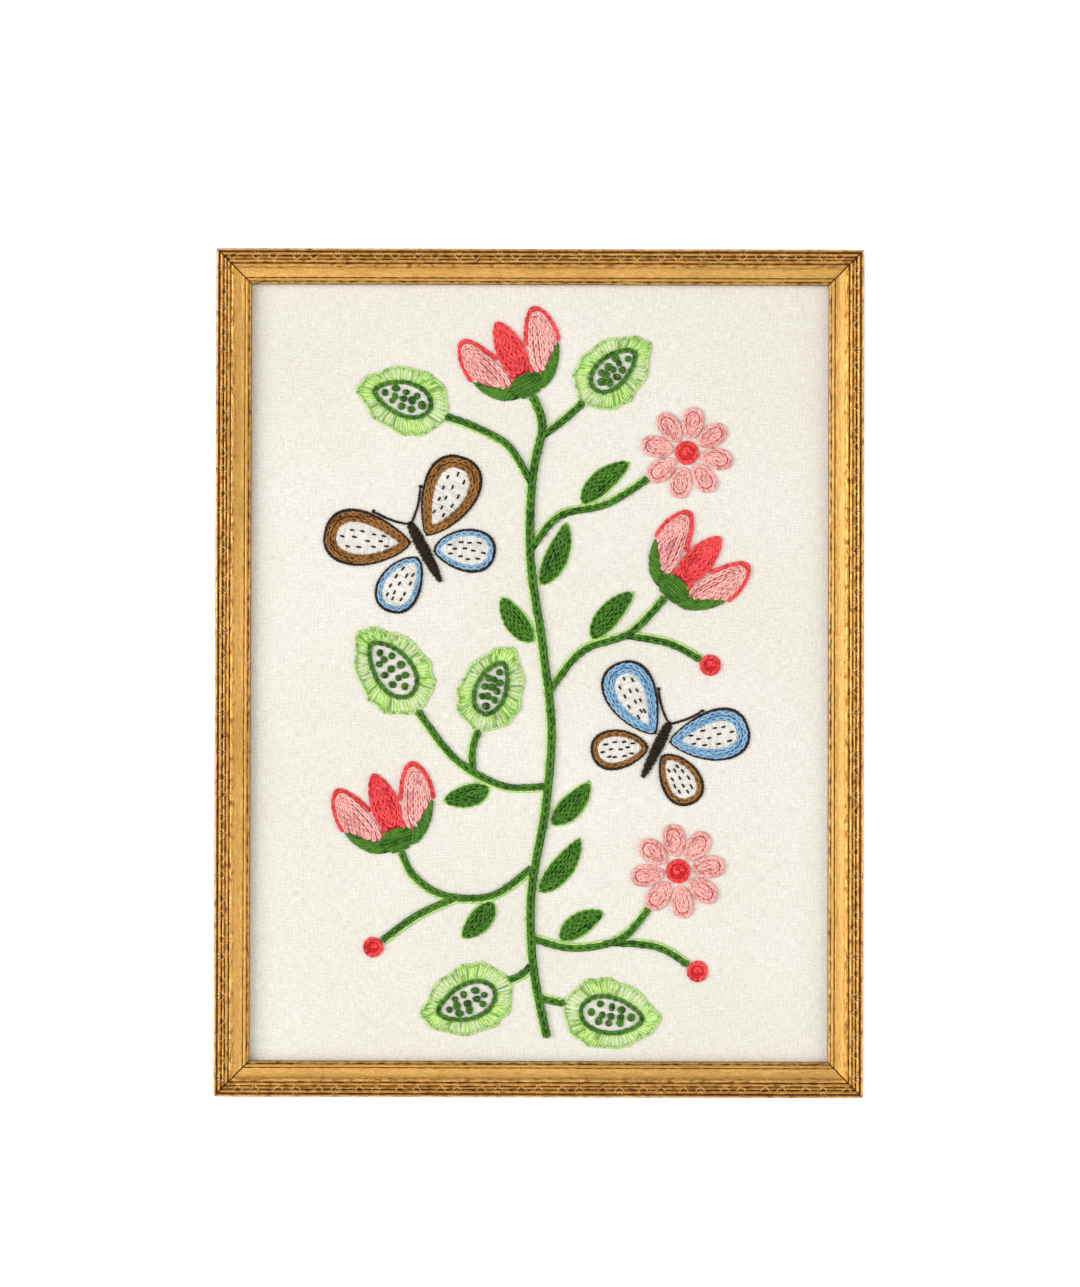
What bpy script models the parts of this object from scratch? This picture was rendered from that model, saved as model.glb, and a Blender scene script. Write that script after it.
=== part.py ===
"""Crewel embroidery panel in a gilt wooden frame, lying on its back.

Metres and degrees. The origin is on the surface under the middle of the frame: +X runs to the
picture's right, +Y to its top, and +Z out of its face.
"""

from collections import namedtuple
from math import atan2, ceil, cos, degrees, hypot, pi, radians, sin

import bmesh
import bpy

INCH = 0.0254

# Driving dimensions of the frame
PICTURE_WIDTH = 12 * INCH
PICTURE_HEIGHT = 16 * INCH
FRAME_WIDTH = 13 * INCH
FRAME_HEIGHT = 17 * INCH
LIP_OVERLAP = 3 / 16 * INCH
SIGHT_EDGE_TOP = 0.0102
SIGHT_EDGE_BEVEL = 0.0003
MITRE_GAP = 0.0002
GAP = 0.0003

# The face of the moulding as reeds and flats, from its outer edge inwards
Reed = namedtuple("Reed", "inset height rise")
REEDS = (
    Reed(0.0000, 0.0138, 0.0012),
    Reed(0.0019, 0.0142, 0.0018),
    Reed(0.0040, 0.0144, 0.0012),
    Reed(0.0056, 0.0138, 0.0008),
    Reed(0.0074, 0.0131, 0.0009),
    Reed(0.0098, 0.0124, -0.0004),
    Reed(0.0140, 0.0112, 0.0000),
    Reed(0.0145, 0.0110, 0.0009),
    Reed(0.0163, 0.0108, 0.0000),
)
REED_STEPS = 4

# The board and the linen stretched on it fill the rebate from the frame's back to its lip
BOARD_THICKNESS = 3 / 16 * INCH
LINEN_THICKNESS = 0.001
FIT_CLEARANCE = 0.001
LINEN_BACK = BOARD_THICKNESS + GAP
LINEN_FACE = LINEN_BACK + LINEN_THICKNESS
LIP_UNDERSIDE = LINEN_FACE + GAP

# The stitchery stands on the linen as low cushions
WOOL_BED = LINEN_FACE + GAP
EDGE_RISE = 0.0007
TWIG_RISE = 0.0006
CROWN_RISE = 0.0007
STEM_STEP = 0.008
LOBE_STATIONS = 9
RING_STATIONS = 11
TIP_HALF_WIDTH = 0.0006

Wool = namedtuple("Wool", "name colour")
GREEN = Wool("wool_green", (0.05, 0.16, 0.025))
LIME = Wool("wool_lime", (0.36, 0.60, 0.16))
CORAL = Wool("wool_coral", (0.88, 0.06, 0.07))
PINK = Wool("wool_pink", (0.91, 0.42, 0.38))
BLUE = Wool("wool_blue", (0.24, 0.48, 0.80))
BROWN = Wool("wool_brown", (0.25, 0.10, 0.03))
BLACK = Wool("wool_black", (0.02, 0.018, 0.016))

# Each stem runs to the motif at its tip, which grows on from it at its own size
Sprig = namedtuple("Sprig", "tip size width route")
STEM = 0.0055
TWIG = 0.0038
SPRIGS = (
    Sprig("tulip", 1.00, STEM, (
        (0.004, -0.186), (-0.003, -0.150), (-0.004, -0.112), (0.003, -0.070), (0.006, -0.028),
        (0.001, 0.016), (-0.005, 0.058), (-0.004, 0.100), (0.001, 0.126), (-0.004, 0.141),
    )),
    Sprig("pod", 1.00, TWIG, ((0.001, -0.166), (0.007, -0.168), (0.013, -0.169))),
    Sprig("pod", 0.98, TWIG, ((-0.003, -0.148), (-0.008, -0.154), (-0.015, -0.157))),
    Sprig("daisy", 1.00, TWIG, (
        (-0.003, -0.136), (0.018, -0.141), (0.042, -0.136), (0.056, -0.121),
    )),
    Sprig("berry", 1.00, TWIG, ((0.036, -0.138), (0.060, -0.140), (0.076, -0.149))),
    Sprig("tulip", 1.00, TWIG, (
        (-0.004, -0.100), (-0.024, -0.114), (-0.048, -0.114), (-0.064, -0.104), (-0.070, -0.092),
    )),
    Sprig("berry", 0.95, TWIG, ((-0.042, -0.115), (-0.062, -0.124), (-0.080, -0.137))),
    Sprig("pod", 1.02, TWIG, (
        (0.004, -0.058), (-0.018, -0.058), (-0.042, -0.045), (-0.062, -0.020),
    )),
    Sprig("pod", 0.92, TWIG, ((-0.034, -0.050), (-0.034, -0.039), (-0.031, -0.030))),
    Sprig("tulip", 1.00, TWIG, (
        (0.005, -0.010), (0.022, 0.011), (0.046, 0.020), (0.064, 0.038),
    )),
    Sprig("berry", 1.00, TWIG, ((0.044, 0.019), (0.066, 0.015), (0.082, 0.007))),
    Sprig("daisy", 0.98, TWIG, (
        (-0.005, 0.062), (0.010, 0.080), (0.034, 0.086), (0.055, 0.099),
    )),
    Sprig("pod", 0.96, TWIG, (
        (-0.004, 0.096), (-0.016, 0.116), (-0.034, 0.126), (-0.048, 0.131),
    )),
    Sprig("pod", 0.92, TWIG, ((0.000, 0.120), (0.012, 0.129), (0.022, 0.138))),
)

# Plain leaves: the sprig's row above, the share along it, and the side, 1 on its left
Leaf = namedtuple("Leaf", "sprig share side turn length")
LEAVES = (
    Leaf(0, 0.21, -1, 46, 0.036),
    Leaf(0, 0.33, -1, 46, 0.031),
    Leaf(0, 0.61, 1, 40, 0.030),
    Leaf(0, 0.70, -1, 44, 0.036),
    Leaf(3, 0.25, 1, 58, 0.028),
    Leaf(5, 0.30, 1, 44, 0.026),
    Leaf(7, 0.30, 1, 50, 0.026),
    Leaf(9, 0.42, 1, 40, 0.034),
    Leaf(11, 0.48, 1, 44, 0.034),
)
LEAF_WIDTH = 0.0125
LEAF_BEND = -26

# Butterflies in flight
Spot = namedtuple("Spot", "x y heading size")
BUTTERFLIES = (Spot(-0.0600, 0.0640, 118, 1.08), Spot(0.0610, -0.0370, 64, 1.00))

# The outlines that make up one motif, along its heading from its base. A low power at the base
# or the tip makes that end blunt.
Lobe = namedtuple("Lobe", "x y heading length width bend base tip")
POD = Lobe(0.0, 0.0, 0, 0.0500, 0.0360, 14, 0.50, 0.72)
POD_BORDER = 0.0072
POD_OUTLINE = 0.0026
TULIP_SIDE = Lobe(0.0045, 0.0085, 17, 0.0400, 0.0200, -26, 0.42, 0.62)
TULIP_CENTRE = Lobe(0.0100, 0.0, 0, 0.0330, 0.0150, 0, 0.55, 0.75)
TULIP_CUP = Lobe(0.0, 0.0, 0, 0.0130, 0.0170, 0, 0.45, 0.40)
TULIP_SEPAL = Lobe(0.0035, 0.0045, 50, 0.0260, 0.0068, -46, 0.35, 0.90)
FOREWING = Lobe(0.0040, 0.0036, 54, 0.0420, 0.0270, -12, 0.85, 0.42)
HINDWING = Lobe(-0.0035, 0.0036, 122, 0.0300, 0.0210, 16, 0.70, 0.42)
BODY = Lobe(-0.0190, 0.0, 0, 0.0330, 0.0056, 0, 0.50, 0.35)
FEELER = Lobe(0.0125, 0.0006, 42, 0.0180, 0.0018, -24, 0.02, 0.02)
BERRY_RADIUS = 0.0058

# Radii of a daisy: its eye, the foot of its petals, the notches between them and their tips
DAISY_EYE = 0.0066
DAISY_FOOT = 0.0069
DAISY_NOTCH = 0.0125
DAISY_REACH = 0.0245
DAISY_PETALS = 8
PETAL_STEPS = 6

# Knots seed a pod in rows along it: across as a share of the bare half width
KnotRow = namedtuple("KnotRow", "across count first last")
KNOT_ROWS = (KnotRow(0.0, 5, 0.14, 0.84), KnotRow(0.52, 3, 0.28, 0.66), KnotRow(-0.52, 3, 0.28, 0.66))
KNOT_RADIUS = 0.0014
KNOT_RISE = 0.0015
KNOT_SIDES = 6


def clear_scene():
    for obj in list(bpy.data.objects):
        bpy.data.objects.remove(obj)


def finish_of(name, colour, roughness, metallic=0.0):
    """One material for each finish, made the first time that it is asked for."""
    if name in bpy.data.materials:
        return bpy.data.materials[name]
    material = bpy.data.materials.new(name)
    material.use_nodes = True
    shader = material.node_tree.nodes["Principled BSDF"]
    shader.inputs["Base Color"].default_value = (*colour, 1.0)
    shader.inputs["Roughness"].default_value = roughness
    shader.inputs["Metallic"].default_value = metallic
    return material


def wool_finish(wool):
    return finish_of(wool.name, wool.colour, 0.92)


def object_from(bm, name, material=None):
    bmesh.ops.recalc_face_normals(bm, faces=bm.faces)
    mesh = bpy.data.meshes.new(name)
    bm.to_mesh(mesh)
    bm.free()
    obj = bpy.data.objects.new(name, mesh)
    bpy.context.scene.collection.objects.link(obj)
    if material:
        mesh.materials.append(material)
    return obj


def combine(target, other, operation):
    """Joins or cuts the target by another object, which becomes a hidden helper."""
    other.hide_render = True
    other.display_type = "WIRE"
    boolean = target.modifiers.new(other.name, "BOOLEAN")
    boolean.operation = operation
    boolean.object = other


def vertices_of(grown):
    return [part for part in grown["geom"] if isinstance(part, bmesh.types.BMVert)]


def make_block(name, width, height, low, high, material=None):
    """A rectangular block over the origin, from low to high above the surface."""
    bm = bmesh.new()
    bmesh.ops.create_cube(bm, size=1)
    bmesh.ops.scale(bm, vec=(width, height, high - low), verts=bm.verts)
    bmesh.ops.translate(bm, vec=(0, 0, (low + high) / 2), verts=bm.verts)
    return object_from(bm, name, material)


def moulding_section():
    """The moulding's closed section as (inset from the outer edge, height) points."""
    rebate = (FRAME_WIDTH - PICTURE_WIDTH) / 2
    sight = rebate + LIP_OVERLAP
    points = [(0.0, 0.0)]
    for reed, after in zip(REEDS, REEDS[1:]):
        for step in range(REED_STEPS if reed.rise else 1):
            share = step / REED_STEPS
            inset = reed.inset + share * (after.inset - reed.inset)
            level = reed.height + share * (after.height - reed.height)
            points.append((inset, level + reed.rise * sin(pi * share)))
    points.append((REEDS[-1].inset, REEDS[-1].height))
    points.append((sight - SIGHT_EDGE_BEVEL, SIGHT_EDGE_TOP))
    points.append((sight, SIGHT_EDGE_TOP - SIGHT_EDGE_BEVEL))
    points.append((sight, LIP_UNDERSIDE))
    points.append((rebate, LIP_UNDERSIDE))
    points.append((rebate, 0.0))
    return points


def make_rail(name, length, x, y, turn, gilt):
    """One mitred rail. Its own X is its length, and the picture is on its own -Y side."""
    bm = bmesh.new()
    corners = [
        bm.verts.new((inset + MITRE_GAP - length / 2, -inset, height))
        for inset, height in moulding_section()
    ]
    section = bm.faces.new(corners)
    section.normal_update()
    bmesh.ops.triangulate(bm, faces=[section], ngon_method="EAR_CLIP")
    grown = bmesh.ops.extrude_face_region(bm, geom=list(bm.faces))
    bmesh.ops.scale(bm, vec=(-1, 1, 1), verts=vertices_of(grown))
    rail = object_from(bm, name, gilt)
    rail.location = (x, y, 0)
    rail.rotation_euler.z = radians(turn)


def make_frame():
    gilt = finish_of("gilt", (0.62, 0.38, 0.10), 0.42, 0.8)
    half_width, half_height = FRAME_WIDTH / 2, FRAME_HEIGHT / 2
    make_rail("rail_top", FRAME_WIDTH, 0, half_height, 0, gilt)
    make_rail("rail_bottom", FRAME_WIDTH, 0, -half_height, 180, gilt)
    make_rail("rail_left", FRAME_HEIGHT, -half_width, 0, 90, gilt)
    make_rail("rail_right", FRAME_HEIGHT, half_width, 0, -90, gilt)


def make_covered_board():
    """The mount board, and the linen stretched over it with its knots raised in its face."""
    size = (PICTURE_WIDTH - 2 * FIT_CLEARANCE, PICTURE_HEIGHT - 2 * FIT_CLEARANCE)
    card = finish_of("board", (0.42, 0.33, 0.22), 0.85)
    make_block("mount_board", *size, 0, BOARD_THICKNESS, card)
    cloth = finish_of("linen", (0.86, 0.82, 0.74), 0.9)
    linen = make_block("linen_ground", *size, LINEN_BACK, LINEN_FACE, cloth)
    combine(linen, make_knots(), "UNION")


def smooth_route(points):
    """Points on the smooth curve through the given ones, at most a stem step apart."""
    route = []
    ends = [points[0], *points, points[-1]]
    for before, start, end, after in zip(ends, ends[1:], ends[2:], ends[3:]):
        count = ceil(hypot(end[0] - start[0], end[1] - start[1]) / STEM_STEP)
        for index in range(count):
            t = index / count
            route.append(tuple(
                b + 0.5 * t * (c - a + t * (2 * a - 5 * b + 4 * c - d + t * (3 * (b - c) + d - a)))
                for a, b, c, d in zip(before, start, end, after)
            ))
    return [*route, tuple(points[-1])]


def heading_at(route, index):
    """Which way a route runs at one of its points, in radians."""
    x0, y0 = route[max(index - 1, 0)]
    x1, y1 = route[min(index + 1, len(route) - 1)]
    return atan2(y1 - y0, x1 - x0)


def beside(route, offset):
    """The line that lies to the left of a route by the offset."""
    line = []
    for index, (x, y) in enumerate(route):
        across = heading_at(route, index) + pi / 2
        line.append((x + offset * cos(across), y + offset * sin(across)))
    return line


def make_pad(name, rows, wool=None, closed=False, low=WOOL_BED, edge=EDGE_RISE):
    """A low cushion of stitches over three matching rows of points: side, middle, side."""
    bm = bmesh.new()
    grid = [[bm.verts.new((x, y, low)) for x, y in row] for row in rows]
    count = len(grid[0])
    for row, after in zip(grid, grid[1:]):
        for index in range(count if closed else count - 1):
            following = (index + 1) % count
            bm.faces.new((row[index], row[following], after[following], after[index]))
    middle = {vert.co.to_tuple(6) for vert in grid[1]}
    top = vertices_of(bmesh.ops.extrude_face_region(bm, geom=list(bm.faces)))
    crown = [vert for vert in top if vert.co.to_tuple(6) in middle]
    bmesh.ops.translate(bm, vec=(0, 0, edge), verts=top)
    bmesh.ops.translate(bm, vec=(0, 0, CROWN_RISE), verts=crown)
    return object_from(bm, name, wool and wool_finish(wool))


def lobe_point(lobe, share, offset=0.0):
    """The point at a share of the lobe's bent middle line, or to its left by the offset."""
    start = radians(lobe.heading - lobe.bend / 2)
    half_turn = radians(lobe.bend) * share / 2
    chord = lobe.length * share * (sin(half_turn) / half_turn if half_turn else 1.0)
    across = start + 2 * half_turn + pi / 2
    x = lobe.x + chord * cos(start + half_turn) + offset * cos(across)
    y = lobe.y + chord * sin(start + half_turn) + offset * sin(across)
    return x, y


def half_width(lobe, share):
    peak = lobe.base / (lobe.base + lobe.tip)
    largest = peak ** lobe.base * (1 - peak) ** lobe.tip
    half = lobe.width / 2 * share ** lobe.base * (1 - share) ** lobe.tip / largest
    return max(half, TIP_HALF_WIDTH)


def lobe_row(lobe, side, grow=0.0, stations=LOBE_STATIONS):
    """Points along a lobe, on its left side (1), middle (0) or right side (-1)."""
    row = []
    for index in range(stations):
        share = (1 - cos(pi * index / (stations - 1))) / 2
        row.append(lobe_point(lobe, share, side * (half_width(lobe, share) + grow)))
    return row


def lobe_pad(name, lobe, wool=None, grow=0.0, **heights):
    rows = [lobe_row(lobe, side, grow) for side in (1, 0, -1)]
    return make_pad(name, rows, wool, **heights)


def resized(lobe, margin):
    """The lobe with a margin added all round, or taken off where it is negative."""
    start = radians(lobe.heading - lobe.bend / 2)
    return lobe._replace(
        x=lobe.x - margin * cos(start),
        y=lobe.y - margin * sin(start),
        length=lobe.length + 2 * margin,
        width=lobe.width + 2 * margin,
    )


def clearance_for(name, lobe):
    """A tall block a gap wider than the lobe, which clears a place for it in another pad."""
    return lobe_pad(name, resized(lobe, GAP), grow=GAP, low=LINEN_FACE, edge=4 * EDGE_RISE)


def ring_pad(name, lobe, outer, inner, wool):
    """A closed band that follows a lobe's edge, between two depths inside it."""
    rows = []
    for depth in (outer, (outer + inner) / 2, inner):
        inside = resized(lobe, -depth)
        left, right = (lobe_row(inside, side, 0.0, RING_STATIONS) for side in (1, -1))
        rows.append(left + right[::-1])
    return make_pad(name, rows, wool, closed=True)


def round_pad(name, x, y, radius, wool):
    """A round boss, such as a spiral of stitches makes."""
    bm = bmesh.new()
    rise = EDGE_RISE + CROWN_RISE
    bmesh.ops.create_cone(
        bm, cap_ends=True, segments=14, radius1=radius, radius2=0.75 * radius, depth=rise
    )
    bmesh.ops.translate(bm, vec=(x, y, WOOL_BED + rise / 2), verts=bm.verts)
    return object_from(bm, name, wool_finish(wool))


def placed(lobe, spot, side=1):
    """A motif's own lobe in the picture, on its left side or, with side -1, on its right."""
    turn = radians(spot.heading)
    along, across = spot.size * lobe.x, spot.size * side * lobe.y
    return lobe._replace(
        x=spot.x + along * cos(turn) - across * sin(turn),
        y=spot.y + along * sin(turn) + across * cos(turn),
        heading=spot.heading + side * lobe.heading,
        length=spot.size * lobe.length,
        width=spot.size * lobe.width,
        bend=side * lobe.bend,
    )


def tips_of(kind, clear=0.0):
    """Where the motifs of one kind stand: just past the ends of their stems."""
    spots = []
    for sprig in SPRIGS:
        if sprig.tip == kind:
            route = smooth_route(sprig.route)
            turn = heading_at(route, len(route) - 1)
            ahead = GAP + clear * sprig.size
            x, y = route[-1]
            x, y = x + ahead * cos(turn), y + ahead * sin(turn)
            spots.append(Spot(x, y, degrees(turn), sprig.size))
    return spots


def pods():
    return [placed(POD, spot, (-1) ** number) for number, spot in enumerate(tips_of("pod"))]


def make_knots():
    """The knots that seed the pods, as one helper sunk in the linen so that they join it."""
    bm = bmesh.new()
    depth = KNOT_RISE + LINEN_THICKNESS / 2
    for pod in pods():
        bare = resized(pod, -POD_BORDER - POD_OUTLINE)
        for row in KNOT_ROWS:
            for index in range(row.count):
                share = row.first + (row.last - row.first) * index / (row.count - 1)
                x, y = lobe_point(bare, share, row.across * half_width(bare, share))
                made = bmesh.ops.create_cone(
                    bm, cap_ends=True, segments=KNOT_SIDES, radius1=KNOT_RADIUS,
                    radius2=KNOT_RADIUS / 2, depth=depth,
                )
                middle = LINEN_FACE + KNOT_RISE - depth / 2
                bmesh.ops.translate(bm, vec=(x, y, middle), verts=made["verts"])
    return object_from(bm, "knots")


def make_stems():
    stems = None
    for number, sprig in enumerate(SPRIGS):
        route = smooth_route(sprig.route)
        rows = [beside(route, side * sprig.width / 2) for side in (1, 0, -1)]
        if stems:
            combine(stems, make_pad(f"twig_{number}", rows, edge=TWIG_RISE), "UNION")
        else:
            stems = make_pad("stems", rows, GREEN)


def make_pods():
    inner = POD_BORDER + GAP
    for number, pod in enumerate(pods(), 1):
        ring_pad(f"pod_{number}_border", pod, 0.0, POD_BORDER, LIME)
        ring_pad(f"pod_{number}_outline", pod, inner, inner + POD_OUTLINE, GREEN)


def make_leaves():
    for number, leaf in enumerate(LEAVES, 1):
        sprig = SPRIGS[leaf.sprig]
        route = smooth_route(sprig.route)
        index = round(leaf.share * (len(route) - 1))
        off = sprig.width / 2 + 3 * GAP
        x, y = beside(route, leaf.side * off)[index]
        heading = degrees(heading_at(route, index)) + leaf.side * leaf.turn
        bend = leaf.side * LEAF_BEND
        start = heading + bend / 2
        lobe = Lobe(x, y, start, leaf.length, LEAF_WIDTH, bend, 0.7, 0.9)
        lobe_pad(f"leaf_{number}", lobe, GREEN)


def make_tulips():
    for number, flower in enumerate(tips_of("tulip"), 1):
        name = f"tulip_{number}"
        cup, centre = placed(TULIP_CUP, flower), placed(TULIP_CENTRE, flower)
        sepals = [placed(TULIP_SEPAL, flower, side) for side in (1, -1)]
        petals = {
            "petal_left": (placed(TULIP_SIDE, flower, 1), PINK, [centre, cup, sepals[0]]),
            "petal_right": (placed(TULIP_SIDE, flower, -1), PINK, [centre, cup, sepals[1]]),
            "petal_centre": (centre, CORAL, [cup]),
        }
        for part, (lobe, wool, in_front) in petals.items():
            petal = lobe_pad(f"{name}_{part}", lobe, wool)
            for index, nearer in enumerate(in_front):
                combine(petal, clearance_for(f"{name}_{part}_{index}", nearer), "DIFFERENCE")
        calyx = lobe_pad(f"{name}_calyx", cup, GREEN)
        for index, sepal in enumerate(sepals):
            combine(calyx, lobe_pad(f"{name}_sepal_{index}", sepal), "UNION")


def make_daisies():
    steps = DAISY_PETALS * PETAL_STEPS
    for number, daisy in enumerate(tips_of("daisy", DAISY_REACH), 1):
        rows = [[], [], []]
        for step in range(steps):
            around = 2 * pi * step / steps
            angle = radians(daisy.heading) + around
            petal = abs(cos(DAISY_PETALS * around / 2)) ** 0.6
            far = DAISY_NOTCH + (DAISY_REACH - DAISY_NOTCH) * petal
            for row, radius in zip(rows, (DAISY_FOOT, (DAISY_FOOT + far) / 2, far)):
                reach = daisy.size * radius
                row.append((daisy.x + reach * cos(angle), daisy.y + reach * sin(angle)))
        make_pad(f"daisy_{number}_petals", rows, PINK, closed=True)
        round_pad(f"daisy_{number}_eye", daisy.x, daisy.y, daisy.size * DAISY_EYE - GAP / 2, CORAL)


def make_berries():
    for number, berry in enumerate(tips_of("berry", BERRY_RADIUS), 1):
        round_pad(f"berry_{number}", berry.x, berry.y, berry.size * BERRY_RADIUS, CORAL)


def make_butterflies():
    wools = ((BROWN, BLUE), (BLUE, BROWN))
    for number, (insect, (front, rear)) in enumerate(zip(BUTTERFLIES, wools), 1):
        name = f"butterfly_{number}"
        for word, side in (("left", 1), ("right", -1)):
            lobe_pad(f"{name}_forewing_{word}", placed(FOREWING, insect, side), front)
            lobe_pad(f"{name}_hindwing_{word}", placed(HINDWING, insect, side), rear)
        body = lobe_pad(f"{name}_body", placed(BODY, insect), BLACK)
        for index, side in enumerate((1, -1)):
            feeler = lobe_pad(f"{name}_feeler_{index}", placed(FEELER, insect, side))
            combine(body, feeler, "UNION")


def main():
    clear_scene()
    make_frame()
    make_covered_board()
    make_stems()
    make_pods()
    make_leaves()
    make_tulips()
    make_daisies()
    make_berries()
    make_butterflies()


main()
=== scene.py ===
from collections import namedtuple
from math import atan2, ceil, cos, degrees, hypot, pi, radians, sin
from random import Random

import bmesh
import bpy
import numpy as np
from mathutils import Matrix, Vector, noise


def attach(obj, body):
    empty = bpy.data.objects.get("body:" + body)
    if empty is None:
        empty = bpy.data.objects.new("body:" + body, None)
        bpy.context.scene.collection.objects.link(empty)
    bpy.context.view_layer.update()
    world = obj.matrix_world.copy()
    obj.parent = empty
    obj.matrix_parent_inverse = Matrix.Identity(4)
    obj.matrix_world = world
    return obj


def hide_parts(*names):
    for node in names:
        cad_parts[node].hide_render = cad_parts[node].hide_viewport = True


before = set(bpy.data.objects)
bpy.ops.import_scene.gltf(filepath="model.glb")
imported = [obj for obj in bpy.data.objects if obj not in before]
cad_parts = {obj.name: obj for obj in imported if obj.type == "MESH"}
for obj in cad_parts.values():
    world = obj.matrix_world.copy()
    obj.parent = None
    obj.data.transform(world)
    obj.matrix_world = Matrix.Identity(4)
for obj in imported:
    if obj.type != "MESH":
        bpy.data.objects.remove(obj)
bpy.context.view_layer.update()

INCH = 0.0254

# Sizes of the solids, from the part's source
PICTURE_WIDTH = 12 * INCH
PICTURE_HEIGHT = 16 * INCH
FRAME_WIDTH = 13 * INCH
FRAME_HEIGHT = 17 * INCH
LIP_OVERLAP = 3 / 16 * INCH
GAP = 0.0003
MITRE_GAP = 0.0002
FIT_CLEARANCE = 0.001
LINEN_BACK = 3 / 16 * INCH + GAP
LINEN_FACE = LINEN_BACK + 0.001
LIP_UNDERSIDE = LINEN_FACE + GAP
SIGHT_EDGE_TOP = 0.0102
SIGHT_EDGE_BEVEL = 0.0003

Reed = namedtuple("Reed", "inset height rise")
REEDS = (
    Reed(0.0000, 0.0138, 0.0012),
    Reed(0.0019, 0.0142, 0.0018),
    Reed(0.0040, 0.0144, 0.0012),
    Reed(0.0056, 0.0138, 0.0008),
    Reed(0.0074, 0.0131, 0.0009),
    Reed(0.0098, 0.0124, -0.0004),
    Reed(0.0140, 0.0112, 0.0000),
    Reed(0.0145, 0.0110, 0.0009),
    Reed(0.0163, 0.0108, 0.0000),
)

Sprig = namedtuple("Sprig", "tip size width route")
STEM = 0.0055
TWIG = 0.0038
SPRIGS = (
    Sprig("tulip", 1.00, STEM, (
        (0.004, -0.186), (-0.003, -0.150), (-0.004, -0.112), (0.003, -0.070), (0.006, -0.028),
        (0.001, 0.016), (-0.005, 0.058), (-0.004, 0.100), (0.001, 0.126), (-0.004, 0.141),
    )),
    Sprig("pod", 1.00, TWIG, ((0.001, -0.166), (0.007, -0.168), (0.013, -0.169))),
    Sprig("pod", 0.98, TWIG, ((-0.003, -0.148), (-0.008, -0.154), (-0.015, -0.157))),
    Sprig("daisy", 1.00, TWIG, (
        (-0.003, -0.136), (0.018, -0.141), (0.042, -0.136), (0.056, -0.121),
    )),
    Sprig("berry", 1.00, TWIG, ((0.036, -0.138), (0.060, -0.140), (0.076, -0.149))),
    Sprig("tulip", 1.00, TWIG, (
        (-0.004, -0.100), (-0.024, -0.114), (-0.048, -0.114), (-0.064, -0.104), (-0.070, -0.092),
    )),
    Sprig("berry", 0.95, TWIG, ((-0.042, -0.115), (-0.062, -0.124), (-0.080, -0.137))),
    Sprig("pod", 1.02, TWIG, (
        (0.004, -0.058), (-0.018, -0.058), (-0.042, -0.045), (-0.062, -0.020),
    )),
    Sprig("pod", 0.92, TWIG, ((-0.034, -0.050), (-0.034, -0.039), (-0.031, -0.030))),
    Sprig("tulip", 1.00, TWIG, (
        (0.005, -0.010), (0.022, 0.011), (0.046, 0.020), (0.064, 0.038),
    )),
    Sprig("berry", 1.00, TWIG, ((0.044, 0.019), (0.066, 0.015), (0.082, 0.007))),
    Sprig("daisy", 0.98, TWIG, (
        (-0.005, 0.062), (0.010, 0.080), (0.034, 0.086), (0.055, 0.099),
    )),
    Sprig("pod", 0.96, TWIG, (
        (-0.004, 0.096), (-0.016, 0.116), (-0.034, 0.126), (-0.048, 0.131),
    )),
    Sprig("pod", 0.92, TWIG, ((0.000, 0.120), (0.012, 0.129), (0.022, 0.138))),
)

Leaf = namedtuple("Leaf", "sprig share side turn length")
LEAVES = (
    Leaf(0, 0.21, -1, 46, 0.036),
    Leaf(0, 0.33, -1, 46, 0.031),
    Leaf(0, 0.61, 1, 40, 0.030),
    Leaf(0, 0.70, -1, 44, 0.036),
    Leaf(3, 0.25, 1, 58, 0.028),
    Leaf(5, 0.30, 1, 44, 0.026),
    Leaf(7, 0.30, 1, 50, 0.026),
    Leaf(9, 0.42, 1, 40, 0.034),
    Leaf(11, 0.48, 1, 44, 0.034),
)
LEAF_WIDTH = 0.0125
LEAF_BEND = -26
STEM_STEP = 0.008

Spot = namedtuple("Spot", "x y heading size")
BUTTERFLIES = (Spot(-0.0600, 0.0640, 118, 1.08), Spot(0.0610, -0.0370, 64, 1.00))

Lobe = namedtuple("Lobe", "x y heading length width bend base tip")
POD = Lobe(0.0, 0.0, 0, 0.0500, 0.0360, 14, 0.50, 0.72)
POD_BORDER = 0.0072
POD_OUTLINE = 0.0026
TULIP_SIDE = Lobe(0.0045, 0.0085, 17, 0.0400, 0.0200, -26, 0.42, 0.62)
TULIP_CENTRE = Lobe(0.0100, 0.0, 0, 0.0330, 0.0150, 0, 0.55, 0.75)
TULIP_CUP = Lobe(0.0, 0.0, 0, 0.0130, 0.0170, 0, 0.45, 0.40)
TULIP_SEPAL = Lobe(0.0035, 0.0045, 50, 0.0260, 0.0068, -46, 0.35, 0.90)
FOREWING = Lobe(0.0040, 0.0036, 54, 0.0420, 0.0270, -12, 0.85, 0.42)
HINDWING = Lobe(-0.0035, 0.0036, 122, 0.0300, 0.0210, 16, 0.70, 0.42)
BODY = Lobe(-0.0190, 0.0, 0, 0.0330, 0.0056, 0, 0.50, 0.35)
FEELER = Lobe(0.0125, 0.0006, 42, 0.0180, 0.0018, -24, 0.02, 0.02)
BERRY_RADIUS = 0.0058
DAISY_EYE = 0.0066
DAISY_FOOT = 0.0069
DAISY_REACH = 0.0245
DAISY_PETALS = 8

KnotRow = namedtuple("KnotRow", "across count first last")
KNOT_ROWS = (KnotRow(0.0, 5, 0.14, 0.84), KnotRow(0.52, 3, 0.28, 0.66), KnotRow(-0.52, 3, 0.28, 0.66))

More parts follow.
